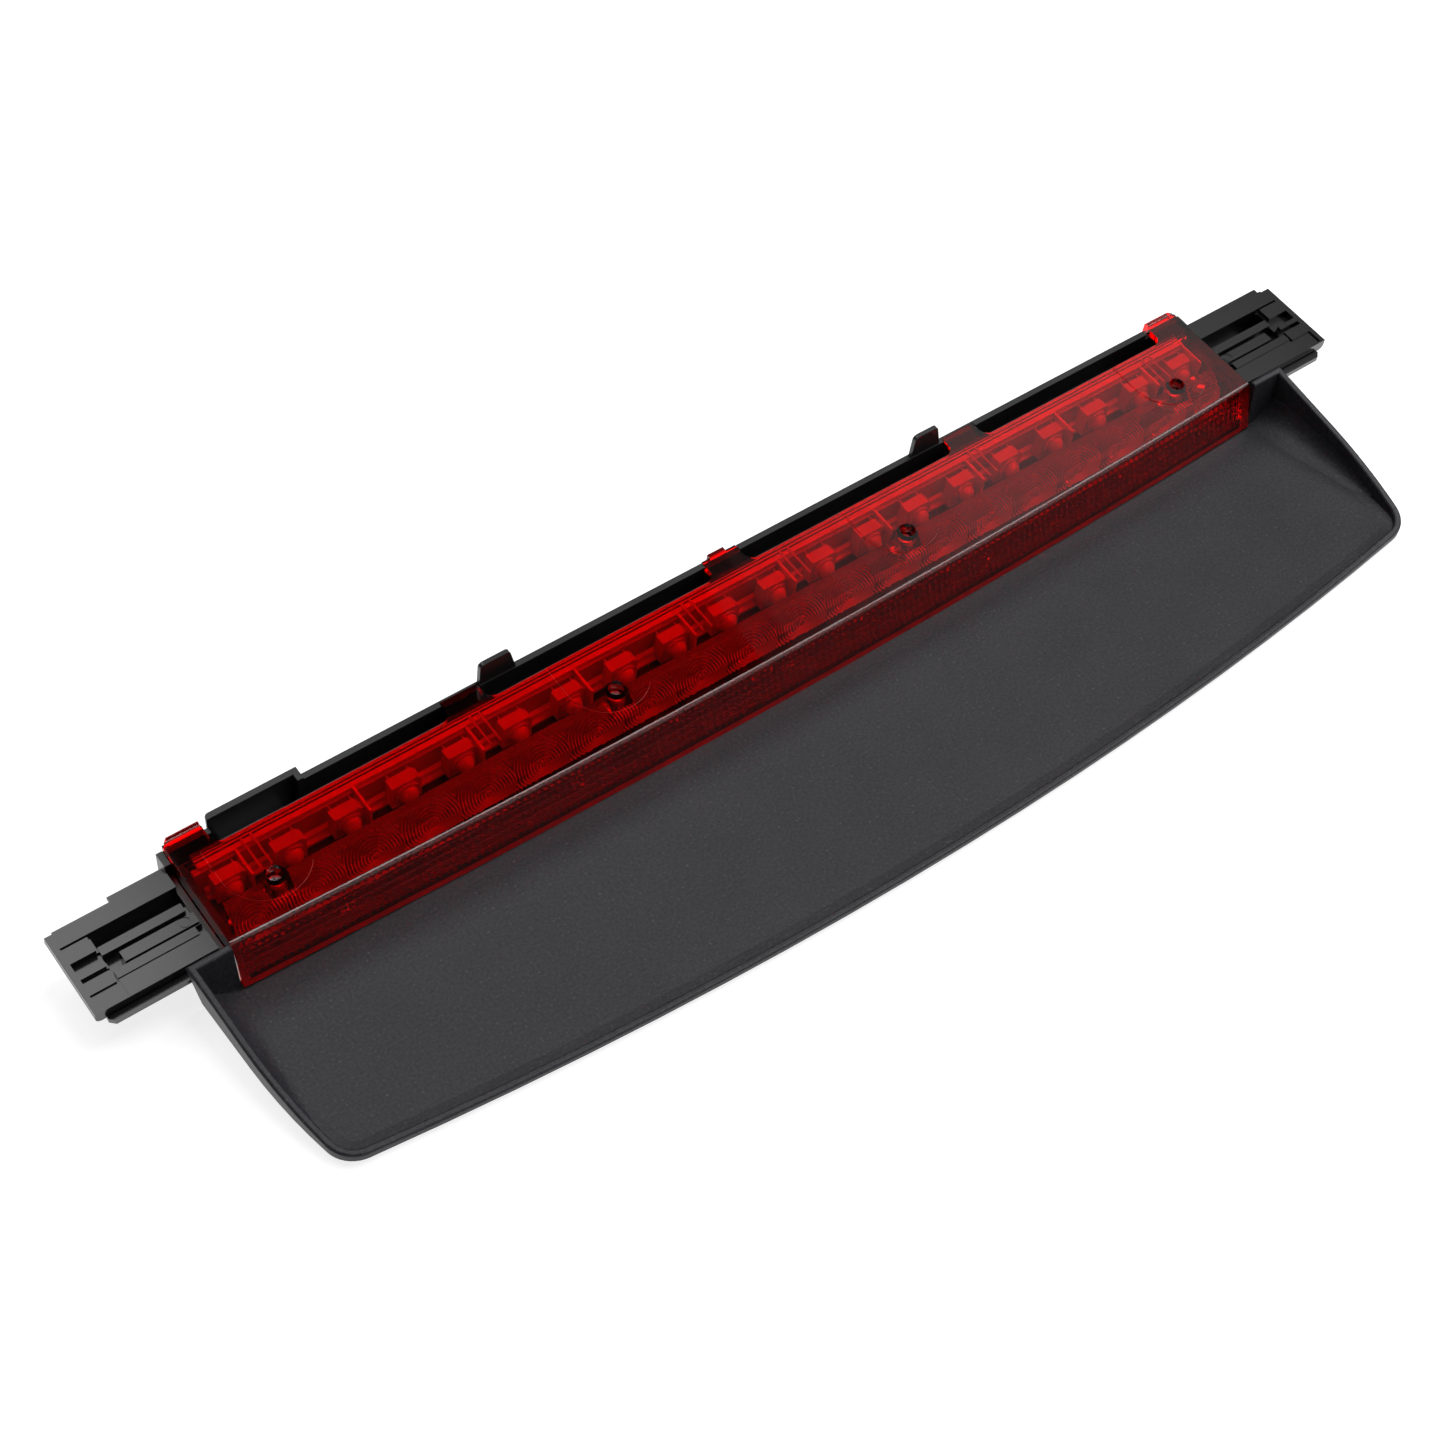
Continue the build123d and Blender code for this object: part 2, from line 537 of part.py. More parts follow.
def shade():
    rise = 20.0
    outer = extrude(shade_outline(0, RIM_FOOT), rise, taper=-SHADE_DRAFT)
    outer -= block((-200, 200), (0, 5), (-1, 40))
    foot = extrude(shade_outline(0, RIM_FOOT), -RIM_FOOT, taper=40)
    inner_foot = shade_outline(SHADE_WALL, SHADE_FLOOR)
    inner = extrude(inner_foot, rise, taper=-SHADE_DRAFT)
    inner -= block((-200, 200), (-1.7, 5), (-1, 40))
    front = inner.edges().filter_by_position(Axis.Z, SHADE_FLOOR - 0.01, SHADE_FLOOR + 0.01)
    front = [edge for edge in front if edge.center().Y < -1.8]
    inner = fillet(front, 0.8)
    body = outer + foot - inner
    body -= lip_profile()
    # gentle slope from the floor up to the front rim
    body += rim_band()
    for side_cove in (cove(), mirror(cove(), Plane.YZ)):
        body += side_cove
    # the middle of the back wall is left out, so that the lens stands in the gap
    gap = HALF + 0.4
    body -= block((-gap, gap), (-8, 5), (SHADE_FLOOR, 40))
    # floor tucked in under the housing, with countersunk screw holes
    body += block((-144.0, 144.0), (-0.5, 7.5), (0, SHADE_FLOOR))
    for x in SHADE_SCREW_X:
        body -= rod(1.25, x, SHADE_SCREW_Y, (-1, 3))
        body -= Pos(x, SHADE_SCREW_Y, 0.6) * Cone(2.6, 1.25, 1.3)
    return fillet(crest_edges(body), CREST_RADIUS)


def crest_edges(body):
    """Edges along the tops of the side walls, the back walls and the front rim."""
    cut = [face for face in lip_profile().faces() if face.bounding_box().min.Z < 39
           and abs(face.normal_at(face.center()).Z) > 0.5]
    crest = []
    for edge in body.edges():
        points = [edge @ 0, edge @ 0.5, edge @ 1]
        if all(min(face.distance_to(point) for face in cut) < 0.01 for point in points):
            crest.append(edge)
    return crest


def rim_band():
    """Band along the front edge that rises gently from the floor to the rim."""
    band = 4.2
    outer = shade_outline(0.4, SHADE_FLOOR - 0.4)
    strip = extrude(outer, RIM_TOP - 0.25 - SHADE_FLOOR + 0.4)
    hollow = extrude(shade_outline(band, SHADE_FLOOR - 1), 5)
    slope = extrude(shade_outline(band, SHADE_FLOOR), 3.0, taper=-80)
    strip = strip - hollow - slope
    return strip & block((-200, 200), (-80, -36), (-5, 10))


def cove():
    """Hollow-curved foot of the right side wall, large at the back and small in front."""
    lean = math.tan(math.radians(SHADE_DRAFT))
    stations = [(-1.0, 6.0), (-14.0, 6.0), (-28.0, 3.8), (-40.0, 1.4)]
    sections = []
    for y, radius in stations:
        side = SHADE_SIDE_RADIUS - SHADE_WALL
        drop = side - math.sqrt(side ** 2 - max(0.0, -20.0 - y) ** 2)
        foot_x = SHADE_HALF_WIDTH - SHADE_WALL - drop
        floor = SHADE_FLOOR
        bury = 0.6
        curve = 0.2929 * radius
        section = Wire([
            Line((foot_x - radius, y, floor - bury), (foot_x + bury, y, floor - bury)),
            Line((foot_x + bury, y, floor - bury), (foot_x + bury + radius * lean, y, floor + radius)),
            Line((foot_x + bury + radius * lean, y, floor + radius),
                 (foot_x + radius * lean, y, floor + radius)),
            ThreePointArc((foot_x + radius * lean, y, floor + radius),
                          (foot_x - curve, y, floor + curve),
                          (foot_x - radius, y, floor)),
            Line((foot_x - radius, y, floor), (foot_x - radius, y, floor - bury)),
        ])
        sections.append(Face(section))
    return loft(sections)


# ------------------------------------------------------------------ fasteners and connector
def screw(head_radius, head_height, shank_radius, length):
    """Pan-head screw pointing down, its head seated on Z = 0, with a cross recess."""
    head = rod(head_radius, 0, 0, (0, head_height))
    head = fillet(head.edges().sort_by(Axis.Z)[-1], head_height * 0.4)
    shank = rod(shank_radius, 0, 0, (-length, 0.1))
    shank = chamfer(shank.edges().sort_by(Axis.Z)[0], shank_radius * 0.4)
    cross = Box(head_radius * 1.1, 0.5, 1.2) + Box(0.5, head_radius * 1.1, 1.2)
    return head + shank - Pos(0, 0, head_height) * cross


def lens_screws():
    return [Pos(side * x, SCREW_Y, SCREW_SEAT) * screw(1.8, 1.4, 1.1, 7.6)
            for x in SCREW_X for side in (-1, 1)]


def arm_screws():
    """One screw up through each arm's lug."""
    up = Rot(180, 0, 0) * screw(2.4, 1.3, 1.1, 5.0)
    return [Pos(side * LUG_SCREW[0], LUG_SCREW[1], LUG_Z[0] - 0.05) * up for side in (-1, 1)]


def shade_screws():
    """Countersunk screws up through the shade's tucked-in floor."""
    pieces = []
    for x in SHADE_SCREW_X:
        head = Pos(x, SHADE_SCREW_Y, 0.68) * Cone(2.35, 1.1, 1.14)
        shank = rod(1.1, x, SHADE_SCREW_Y, (1.1, 4.3))
        slot = block((x - 1.6, x + 1.6), (SHADE_SCREW_Y - 0.25, SHADE_SCREW_Y + 0.25), (0, 0.6))
        pieces.append(head + shank - slot)
    return pieces


def connector_shell():
    """Open socket that faces backwards through the housing's back wall."""
    shell = block(PLUG_X, PLUG_Y, PLUG_Z)
    inside_x = (PLUG_X[0] + 1.0, PLUG_X[1] - 1.0)
    inside_z = (PLUG_Z[0] + 1.0, PLUG_Z[1] - 1.0)
    shell -= block(inside_x, (PLUG_Y[0] + 1.6, PLUG_Y[1] + 1), inside_z)
    key = block((-127.5, -124.5), (PLUG_Y[0] + 1.5, PLUG_Y[1]), (PLUG_Z[1] - 1.6, PLUG_Z[1] - 0.9))
    shell += key
    for x in PIN_X:
        shell -= block((x - 0.42, x + 0.42), (PLUG_Y[0] - 1, PLUG_Y[0] + 3), (PIN_Z - 1.12, PIN_Z + 1.12))
    return shell


def connector_terminals():
    """Two flat blades in the socket."""
    return [block((x - 0.4, x + 0.4), (PLUG_Y[0] - 0.2, PLUG_Y[0] + 5.0), (PIN_Z - 1.1, PIN_Z + 1.1))
            for x in PIN_X]


def link_wires():
    """Short wires from the board, down through the chamber floor, to the terminals."""
    wires = []
    for x in PIN_X:
        wire = rod_y(0.5, x, (BOARD_Y[0] + 0.1, WIRE_DROP_Y), WIRE_Z)
        wire += rod(0.5, x, WIRE_DROP_Y, (PIN_Z, WIRE_Z))
        wire += rod_y(0.5, x, (WIRE_DROP_Y, PLUG_Y[0] - 0.25), PIN_Z)
        for z in (WIRE_Z, PIN_Z):
            wire += Pos(x, WIRE_DROP_Y, z) * Sphere(0.5)
        wires.append(wire)
    return wires


# ------------------------------------------------------------------ assembly
in_lamp_frame = {
    "lens": [lens()],
    "fresnel_strip": [fresnel_strip()],
    "led_holder": [led_holder()],
    "circuit_board": [circuit_board()],
    "led_leads": led_leads(),
    "resistors": resistors(),
    "diode": [diode()],
    "capacitor": [capacitor()],
    "connector_shell": [connector_shell()],
    "connector_terminals": connector_terminals(),
    "link_wires": link_wires(),
    "lens_screws": lens_screws(),
    "arm_screws": arm_screws(),
    "arm_right": [arm(175.6)],
    "arm_left": [mirror(arm(162.4), Plane.YZ)],
}
for number in range(LED_COUNT):
    in_lamp_frame[f"led_{number + 1:02d}"] = [led(number)]

pieces = {name: [LAMP * solid for solid in solids] for name, solids in in_lamp_frame.items()}
pieces["housing"] = [housing()]
pieces["shade"] = [shade()]
pieces["shade_screws"] = shade_screws()

# the origin goes to the middle of the whole lamp's bounding box, at the rest surface
boxes = [solid.bounding_box() for solids in pieces.values() for solid in solids]
CENTRE_Y = (min(box.min.Y for box in boxes) + max(box.max.Y for box in boxes)) / 2
print("centre y", CENTRE_Y)

os.makedirs("parts", exist_ok=True)
for name, solids in pieces.items():
    placed = [Pos(0, -CENTRE_Y, 0) * solid for solid in solids]
    shape = placed[0] if len(placed) == 1 else Compound(placed)
    export_step(shape, f"parts/{name}.step")
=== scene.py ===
import json
import math

import bmesh
import bpy
from mathutils import Euler, Matrix, Vector


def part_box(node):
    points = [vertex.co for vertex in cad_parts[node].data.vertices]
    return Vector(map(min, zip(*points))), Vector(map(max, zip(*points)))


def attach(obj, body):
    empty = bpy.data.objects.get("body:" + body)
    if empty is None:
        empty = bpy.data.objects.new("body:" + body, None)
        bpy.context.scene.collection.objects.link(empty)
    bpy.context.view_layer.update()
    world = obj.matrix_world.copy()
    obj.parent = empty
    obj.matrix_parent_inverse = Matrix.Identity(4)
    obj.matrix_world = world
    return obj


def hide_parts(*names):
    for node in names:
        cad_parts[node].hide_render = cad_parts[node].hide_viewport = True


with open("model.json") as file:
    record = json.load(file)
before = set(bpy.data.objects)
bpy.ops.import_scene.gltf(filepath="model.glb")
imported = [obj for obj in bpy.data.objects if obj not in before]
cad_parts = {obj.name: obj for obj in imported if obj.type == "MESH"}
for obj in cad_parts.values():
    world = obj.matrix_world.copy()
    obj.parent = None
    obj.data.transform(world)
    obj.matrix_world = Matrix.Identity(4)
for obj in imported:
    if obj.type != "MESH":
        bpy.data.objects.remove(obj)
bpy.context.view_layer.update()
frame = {"nodes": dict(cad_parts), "record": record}
nodes = frame["nodes"]

MM = 0.001
BODY = "root"

# ------------------------------------------------------------------ lamp frame
# The lamp stands tilted towards its shade. Its own frame has its origin at the middle of the
# chord of the lens's top front edge, X along the lamp, Y to the back, Z normal to the lens top.
TILT = math.radians(8.0)
ORIGIN_Z = 15.2 * MM
LENS_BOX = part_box("lens")
HALF = LENS_BOX[1][0]                # half of the lens's length
LENS_WALL = 1.8 * MM
LENS_HEIGHT = 12.1 * MM
LENS_BOW = 3.3 * MM                  # how far the lens's front bows out in the middle
FOOT_REACH = 4.33 * MM               # how far the front wall's foot stands before its top
LENS_LEAN = FOOT_REACH / LENS_HEIGHT
# the lens's foremost point, the middle of its foot, sets where the origin lies
FOOT_Y = -(LENS_BOW + FOOT_REACH) * math.cos(TILT) + LENS_HEIGHT * math.sin(TILT)
ORIGIN_Y = LENS_BOX[0][1] - FOOT_Y
LAMP = Matrix.Translation((0, ORIGIN_Y, ORIGIN_Z)) @ Matrix.Rotation(TILT, 4, "X")


# ------------------------------------------------------------------ material helpers
# noise scales, per metre
PLASTIC_BROAD = 60.0
CLEAR_BROAD = 45.0
METAL_GRAIN = 700.0
SPECK_GRAIN = 1400.0
SPECK_FAINT = 0.22                   # the faint specks' share of the brightest ones' colour
PLASTIC_IOR = 1.49


def new_material(name):
    material = bpy.data.materials.new(name)
    material.use_nodes = True
    tree = material.node_tree
    return material, tree, tree.nodes["Principled BSDF"]


def node(tree, kind, **inputs):
    made = tree.nodes.new(kind)
    for key, value in inputs.items():
        made.inputs[key.replace("_", " ")].default_value = value
    return made


def coordinates(tree, scale=(1, 1, 1)):
    """Object coordinates in metres, stretched by scale."""
    place = tree.nodes.new("ShaderNodeTexCoord")
    mapping = node(tree, "ShaderNodeMapping", Scale=scale)
    tree.links.new(place.outputs["Object"], mapping.inputs["Vector"])
    return mapping.outputs["Vector"]


def noise(tree, vector, scale, detail=3.0, roughness=0.5):
    made = node(tree, "ShaderNodeTexNoise", Scale=scale, Detail=detail, Roughness=roughness)
    tree.links.new(vector, made.inputs["Vector"])
    return made.outputs["Fac"]


def ramp(tree, value, stops):
    """Colour ramp with stops of (position, colour)."""
    made = tree.nodes.new("ShaderNodeValToRGB")
    elements = made.color_ramp.elements
    while len(elements) < len(stops):
        elements.new(0.5)
    for element, (position, colour) in zip(elements, stops):
        element.position = position
        element.color = (*colour, 1.0)
    tree.links.new(value, made.inputs["Fac"])
    return made.outputs["Color"]


def spread(tree, value, low, high):
    """Maps 0..1 to low..high."""
    made = tree.nodes.new("ShaderNodeMapRange")
    made.inputs["To Min"].default_value = low
    made.inputs["To Max"].default_value = high
    tree.links.new(value, made.inputs["Value"])
    return made.outputs["Result"]


def bump(tree, shader, height, distance, strength=1.0):
    made = node(tree, "ShaderNodeBump", Strength=strength, Distance=distance)
    tree.links.new(height, made.inputs["Height"])
    tree.links.new(made.outputs["Normal"], shader.inputs["Normal"])


def plastic(name, dark, light, rough, grain_scale=900.0, grain_depth=0.00002, streak=(1, 1, 1),
            specks=None):
    """Opaque moulded plastic: a slightly uneven colour and roughness over a fine grain.

    specks gives the colour of sparse light grains, if there are any."""
    material, tree, shader = new_material(name)
    vector = coordinates(tree, streak)
    broad = noise(tree, vector, PLASTIC_BROAD, 3.0)
    fine = noise(tree, vector, grain_scale, 4.0, 0.6)
    colour = ramp(tree, broad, [(0.3, dark), (0.7, light)])
    if specks:
        faint = [value * SPECK_FAINT for value in specks]
        dots = ramp(tree, noise(tree, vector, SPECK_GRAIN, 3.0),
                    [(0.36, (0, 0, 0)), (0.60, faint), (0.66, faint), (0.74, specks)])
        mix = tree.nodes.new("ShaderNodeMix")
        mix.data_type = "RGBA"
        mix.blend_type = "ADD"
        mix.inputs["Factor"].default_value = 1.0
        tree.links.new(colour, mix.inputs["A"])
        tree.links.new(dots, mix.inputs["B"])
        colour = mix.outputs["Result"]
    tree.links.new(colour, shader.inputs["Base Color"])
    tree.links.new(spread(tree, broad, rough[0], rough[1]), shader.inputs["Roughness"])
    bump(tree, shader, fine, grain_depth, 0.5)
    return material


def clear(name, dark, light, roughness, wave_depth=0.00001, clarity=1.0):
    """Transparent moulded plastic with faint flow waves; milky where clarity is below 1."""
    material, tree, shader = new_material(name)
    shader.inputs["Transmission Weight"].default_value = clarity
    shader.inputs["IOR"].default_value = PLASTIC_IOR
    vector = coordinates(tree, (0.4, 1, 1))
    broad = noise(tree, vector, CLEAR_BROAD, 2.0)
    tree.links.new(ramp(tree, broad, [(0.3, dark), (0.7, light)]), shader.inputs["Base Color"])
    tree.links.new(spread(tree, broad, roughness[0], roughness[1]), shader.inputs["Roughness"])
    bump(tree, shader, broad, wave_depth, 0.4)
    return material


def metal(name, dark, light, rough):
    """Plated metal with a fine grain."""
    material, tree, shader = new_material(name)
    shader.inputs["Metallic"].default_value = 1.0
    vector = coordinates(tree)
    fine = noise(tree, vector, METAL_GRAIN, 4.0)
    tree.links.new(ramp(tree, fine, [(0.3, dark), (0.7, light)]), shader.inputs["Base Color"])
    tree.links.new(spread(tree, fine, rough[0], rough[1]), shader.inputs["Roughness"])
    bump(tree, shader, fine, 0.00001, 0.3)
    return material


# ------------------------------------------------------------------ materials
MATERIALS = {
    "lens_red": clear("lens_red", (0.97, 0.00008, 0.00004), (1.0, 0.00012, 0.00006), (0.01, 0.03)),
    "optic_clear": clear("optic_clear", (0.9, 0.86, 0.84), (0.95, 0.93, 0.92), (0.03, 0.06),
                         0.00001, 0.92),
    "led_epoxy": clear("led_epoxy", (0.9, 0.88, 0.85), (0.98, 0.96, 0.94), (0.05, 0.12),
                       0.00001, 0.25),
    "shade_charcoal": plastic("shade_charcoal", (0.008, 0.008, 0.0105), (0.012, 0.012, 0.015),
                              (0.42, 0.52), 1500.0, 0.00008, (1, 1, 1), (0.04, 0.04, 0.043)),
    "housing_black": plastic("housing_black", (0.004, 0.004, 0.0045), (0.007, 0.007, 0.0075),
                             (0.25, 0.38)),
    "arm_black": plastic("arm_black", (0.003, 0.003, 0.003), (0.005, 0.005, 0.005),
                         (0.14, 0.22), 500.0, 0.000015, (0.2, 1, 1)),
    "holder_grey": plastic("holder_grey", (0.84, 0.84, 0.82), (0.90, 0.90, 0.88), (0.4, 0.5)),
    "board_tan": plastic("board_tan", (0.50, 0.38, 0.20), (0.62, 0.48, 0.27), (0.5, 0.6)),
    "resistor_black": plastic("resistor_black", (0.01, 0.01, 0.01), (0.03, 0.03, 0.03), (0.4, 0.5)),
    "capacitor_tan": plastic("capacitor_tan", (0.35, 0.22, 0.10), (0.45, 0.3, 0.15), (0.3, 0.4)),
    "connector_grey": plastic("connector_grey", (0.10, 0.10, 0.105), (0.14, 0.14, 0.145),
                              (0.4, 0.5)),
    "wire_jacket": plastic("wire_jacket", (0.01, 0.01, 0.01), (0.02, 0.02, 0.02), (0.35, 0.45)),
    "lead_tin": metal("lead_tin", (0.6, 0.6, 0.58), (0.75, 0.75, 0.73), (0.25, 0.4)),
    "terminal_tin": metal("terminal_tin", (0.65, 0.64, 0.6), (0.8, 0.79, 0.75), (0.2, 0.35)),
    "screw_steel": metal("screw_steel", (0.5, 0.5, 0.5), (0.66, 0.66, 0.67), (0.2, 0.35)),
}

# how strongly a surface mirrors; 0.5 is the usual level
for slot, level in (("arm_black", 0.75), ("lens_red", 0.4), ("shade_charcoal", 0.3)):
    tree = MATERIALS[slot].node_tree
    tree.nodes["Principled BSDF"].inputs["Specular IOR Level"].default_value = level

# sides of the lens's ribs and screw pads, made milky so that they show as bright lines: a painted
# highlight on the clear ribs and pads
LENS_LINE_HIGHLIGHT = clear("lens_line_highlight", (0.9, 0.03, 0.02), (0.95, 0.05, 0.04), (0.2, 0.4), 0.00001, 0.3)

# underside of the lens's foot, dark and rough: a painted shade that keeps the clear front wall's
# foot dark
LENS_FOOT_SHADE = plastic("lens_foot_shade", (0.20, 0.002, 0.0015), (0.30, 0.003, 0.002), (0.5, 0.6))

# steep side of each ring on the optic strip, milky white so that the rings show as bright lines: a
# painted highlight on the clear strip
RING_EDGE_HIGHLIGHT = clear("ring_edge_highlight", (0.8, 0.78, 0.76), (0.95, 0.93, 0.92), (0.3, 0.5), 0.00001, 0.05)

# every CAD node takes its material from the record's slot
for part in frame["record"]["subparts"]:
    cad_object = nodes[part["node"]]
    cad_object.data.materials.clear()
    cad_object.data.materials.append(MATERIALS[part["material_slot"]])

# ------------------------------------------------------------------ lens with pillow optics
WALL_TOP = -1.7 * MM                 # height of the upper end of the front wall's inside
WALL_NEAR = 0.15 * MM                # most that the wall's flat faces stray from its curve
PILLOW_COLUMNS = 164
PILLOW_ROWS = 5
PILLOW_Z = (-11.4 * MM, -1.9 * MM)
PILLOW_DEPTH = 0.7 * MM
PILLOW_CUTS = 4                      # mesh steps across one pillow
END_MARGIN = 0.01 * MM               # the wall's ends keep their place
RIB_X = (14.5 * MM, 73.0 * MM, 131.2 * MM)     # middles of the paired ribs
RIB_OFFSET = 1.2 * MM                # from a pair's middle to either rib
RIB_HALF = 0.3 * MM
RIB_Y = (12.8 * MM, 21.9 * MM)
RIB_Z = (-2.02 * MM, -1.62 * MM)
PAD_HEIGHT = 0.15 * MM
FOOT_Z = -12.0 * MM                  # the foot's underside lies below this
SLICE_TOLERANCE = 1e-7
FACING = 0.5                         # least share of a normal along an axis that a face faces
UPRIGHT = 0.1                        # most that an upright face's normal rises or falls


def lamp_copy(name):
    """Editable copy of a CAD node's mesh in the lamp frame."""
    mesh = bmesh.new()
    mesh.from_mesh(nodes[name].data)
    mesh.transform(LAMP.inverted() @ nodes[name].matrix_world)
    return mesh


def finish_piece(mesh, name, slot, sharp_angle, extra):
    """Makes a lamp-frame mesh an object that rides the lamp's body.

    extra holds the materials of the faces whose material index is 1 and up."""
    mesh.transform(LAMP)
    data = bpy.data.meshes.new(name)
    mesh.to_mesh(data)
    mesh.free()
    for polygon in data.polygons:
        polygon.use_smooth = True
    data.set_sharp_from_angle(angle=math.radians(sharp_angle))
    for material in (MATERIALS[slot], *extra):
        data.materials.append(material)
    made = bpy.data.objects.new(name, data)
    bpy.context.scene.collection.objects.link(made)
    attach(made, BODY)
    return made


def inner_front_y(x, z):
    """Lamp-frame y of the front wall's inner face."""
    half = HALF - LENS_WALL
    radius = (half ** 2 + LENS_BOW ** 2) / (2 * LENS_BOW)
    reach = min(abs(x), half)
    return LENS_WALL + LENS_LEAN * z - math.sqrt(radius ** 2 - reach ** 2) + radius - LENS_BOW


def slice_faces(mesh, faces, point, normal):
    """Cuts the faces along one plane and returns all of them afterwards."""
    geometry = set(faces)
    for face in faces:
        geometry.update(face.edges)
        geometry.update(face.verts)
    result = bmesh.ops.bisect_plane(mesh, geom=list(geometry), dist=SLICE_TOLERANCE,
                                    plane_co=point, plane_no=normal)
    return [item for item in result["geom"] if isinstance(item, bmesh.types.BMFace)]


def within(value, pitch):
    """Place inside one repeat of the pitch, from -1 to 1."""
    return 2 * ((value / pitch) % 1.0) - 1


def front_wall_faces(mesh):
    """Faces on the inside of the lens's front wall."""
    wall = []
    for face in mesh.faces:
        middle = face.calc_center_median()
        near = abs(middle.y - inner_front_y(middle.x, middle.z)) < WALL_NEAR
        if near and face.normal.y > FACING and middle.z < WALL_TOP:
            wall.append(face)
    return wall


def raise_pillows(mesh, wall):
    """Cuts the wall's faces into a fine grid and swells them into rows of pillows."""
    half = HALF - LENS_WALL
    pitch = 2 * half / PILLOW_COLUMNS
    row = (PILLOW_Z[1] - PILLOW_Z[0]) / PILLOW_ROWS
    for index in range(1, PILLOW_COLUMNS * PILLOW_CUTS):
        wall = slice_faces(mesh, wall, (-half + pitch * index / PILLOW_CUTS, 0, 0), (1, 0, 0))
    for index in range(PILLOW_ROWS * PILLOW_CUTS + 1):
        wall = slice_faces(mesh, wall, (0, 0, PILLOW_Z[0] + row * index / PILLOW_CUTS), (0, 0, 1))
    moved = set()
    for face in wall:
        moved.update(face.verts)
    for vertex in moved:
        x, z = vertex.co.x, vertex.co.z
        if PILLOW_Z[0] < z < PILLOW_Z[1] and abs(x) < half - END_MARGIN:
            across = within(x + half, pitch)
            along = within(z - PILLOW_Z[0], row)
            vertex.co.y += PILLOW_DEPTH * (1 - across ** 2) * (1 - along ** 2)


def on_rib(place):
    """True on the paired ribs under the lens's top."""
    if not (RIB_Z[0] < place.z < RIB_Z[1] and RIB_Y[0] < place.y < RIB_Y[1]):
        return False
    return any(abs(abs(abs(place.x) - at) - RIB_OFFSET) < RIB_HALF for at in RIB_X)


def mark_faces(mesh):
    """Material 1, a painted highlight, for the ribs and the sides of the screw pads; 2, a painted
    shade, for the foot's underside.
    """
    for face in mesh.faces:
        middle = face.calc_center_median()
        pad_side = 0 < middle.z < PAD_HEIGHT and abs(face.normal.z) < UPRIGHT
        if pad_side or on_rib(middle):
            # painted highlight: the ribs and the pads' sides take the milky material
            face.material_index = 1
        elif middle.z < FOOT_Z and face.normal.z < -FACING:
            # painted shade: the foot's underside takes the dark material
            face.material_index = 2


def pillow_lens():
    mesh = lamp_copy("lens")
    raise_pillows(mesh, front_wall_faces(mesh))
    mark_faces(mesh)
    made = finish_piece(mesh, "pillow_lens", "lens_red", sharp_angle=28,
                        extra=(LENS_LINE_HIGHLIGHT, LENS_FOOT_SHADE))
    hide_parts("lens")


# ------------------------------------------------------------------ strip of ring lenses
LED_COUNT = 20
LED_PITCH = 14.61 * MM
LED_Z = -6.15 * MM
STRIP_HALF = 143.6 * MM
STRIP_FRONT = 4.6 * MM
STRIP_BACK = 6.2 * MM
STRIP_Z = (-10.9 * MM, -2.1 * MM)
RING_STEPS = 64                      # corners around a ring
STRIP_LEAN = 45.0                    # the strip's upper half leans back, degrees
BULGE_HEIGHT = 0.4 * MM
BULGE = ((0.4 * MM, 0.36 * MM), (0.75 * MM, 0.24 * MM))     # its radius and height, outwards
FIRST_RING = 1.1 * MM
RING_PITCH = 0.8 * MM
RING_COUNT = 11
RING_DEPTH = 0.38 * MM
RING_STEP = 0.3 * MM                 # width of each ring's steep side
RING_FADE = 0.7 * MM                 # the rings fade out over this height below the upper edge
NOTCH_X = (42.7 * MM, 131.2 * MM)    # notches around the lens's screw pillars
NOTCH_HALF = 3.1 * MM
NOTCH_Z = -5.4 * MM
TRIM_TOLERANCE = 1e-8
WELD_DISTANCE = 1e-6


def ring_profile():
    """Radius and height of the central bulge and the saw-tooth rings, from the middle out."""
    profile = [*BULGE, (FIRST_RING - RING_STEP, 0)]
    for index in range(RING_COUNT):
        radius = FIRST_RING + index * RING_PITCH
        profile.append((radius, RING_DEPTH))
        profile.append((radius + RING_PITCH - RING_STEP, 0))
    return profile


def trim(mesh, point, normal):
    """Removes what lies beyond the plane on its normal's side."""
    geometry = list(mesh.verts) + list(mesh.edges) + list(mesh.faces)
    bmesh.ops.bisect_plane(mesh, geom=geometry, dist=TRIM_TOLERANCE, plane_co=point,
                           plane_no=normal, clear_outer=True)


